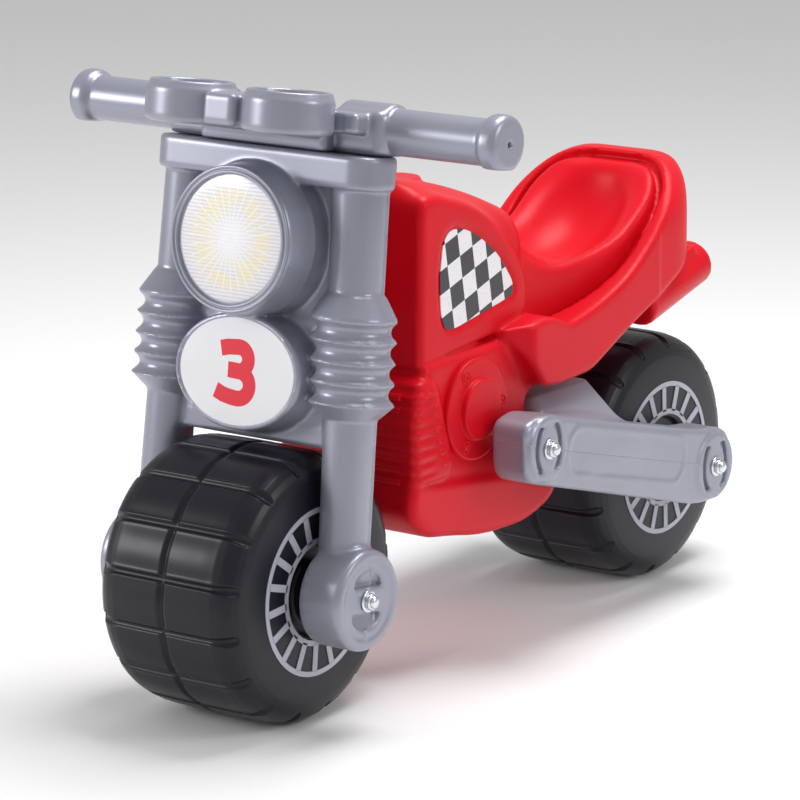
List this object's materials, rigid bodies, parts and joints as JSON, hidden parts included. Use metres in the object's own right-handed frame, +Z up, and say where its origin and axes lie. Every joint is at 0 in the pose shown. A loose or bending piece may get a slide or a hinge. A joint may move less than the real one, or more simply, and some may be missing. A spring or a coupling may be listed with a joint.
{
  "type": "ride-on toy motorcycle",
  "caption": "Child's foot-to-floor ride-on motorcycle in blow-moulded plastic, with a steered fork, wide free-rolling wheels and a bucket seat.",
  "frame": {"origin": "on the ground, midway between the two axles, on the middle plane", "axes": "+Z up, -Y towards the front of the toy, +X towards the rider's left"},
  "size_m": [0.422, 0.7302, 0.5092],
  "materials": {
    "red_body": "satin blow-moulded polyethylene",
    "grey_frame": "satin silver-grey polyethylene",
    "black_wheel": "satin black polyethylene",
    "black_bush": "smooth nylon",
    "spoke_print": "printed sticker",
    "chequer_print": "printed sticker",
    "lens_print": "printed sticker",
    "plate_print": "printed sticker",
    "zinc_hardware": "bright zinc plating"
  },
  "bodies": {
    "frame": {"body_shell": "red_body", "swingarm": "grey_frame", "pivot_rod": "zinc_hardware", "pivot_rod_washer_left": "zinc_hardware", "pivot_rod_washer_right": "zinc_hardware", "pivot_rod_cap_nut_left": "zinc_hardware", "pivot_rod_cap_nut_right": "zinc_hardware", "rear_axle": "zinc_hardware", "rear_axle_washer_left": "zinc_hardware", "rear_axle_washer_right": "zinc_hardware", "rear_axle_cap_nut_left": "zinc_hardware", "rear_axle_cap_nut_right": "zinc_hardware", "tank_sticker_left": "chequer_print", "tank_sticker_right": "chequer_print"},
    "steering": {"fork": "grey_frame", "handlebar": "grey_frame", "steering_pin": "zinc_hardware", "steering_pin_washer_top": "zinc_hardware", "steering_pin_washer_bottom": "zinc_hardware", "steering_pin_cap_nut_top": "zinc_hardware", "steering_pin_cap_nut_bottom": "zinc_hardware", "front_axle": "zinc_hardware", "front_axle_washer_left": "zinc_hardware", "front_axle_washer_right": "zinc_hardware", "front_axle_cap_nut_left": "zinc_hardware", "front_axle_cap_nut_right": "zinc_hardware", "headlight_sticker": "lens_print", "number_plate_sticker": "plate_print"},
    "front_wheel": {"front_wheel": "black_wheel", "front_spoke_sticker_left": "spoke_print", "front_spoke_sticker_right": "spoke_print", "front_hub_bush_left": "black_bush", "front_hub_bush_right": "black_bush"},
    "rear_wheel": {"rear_wheel": "black_wheel", "rear_spoke_sticker_left": "spoke_print", "rear_spoke_sticker_right": "spoke_print", "rear_hub_bush_left": "black_bush", "rear_hub_bush_right": "black_bush"}
  },
  "joints": [
    {"name": "steering", "type": "hinge", "parent": "frame", "child": "steering", "pos_m": [0, -0.23073, 0.10666], "axis": [0, 0.1392, 0.9903], "range_deg": [-30, 30]},
    {"name": "front_wheel_spin", "type": "hinge", "parent": "steering", "child": "front_wheel", "pos_m": [0, -0.2545, 0.11], "axis": [1, 0, 0], "continuous": true},
    {"name": "rear_wheel_spin", "type": "hinge", "parent": "frame", "child": "rear_wheel", "pos_m": [0, 0.2545, 0.11], "axis": [1, 0, 0], "continuous": true}
  ]
}
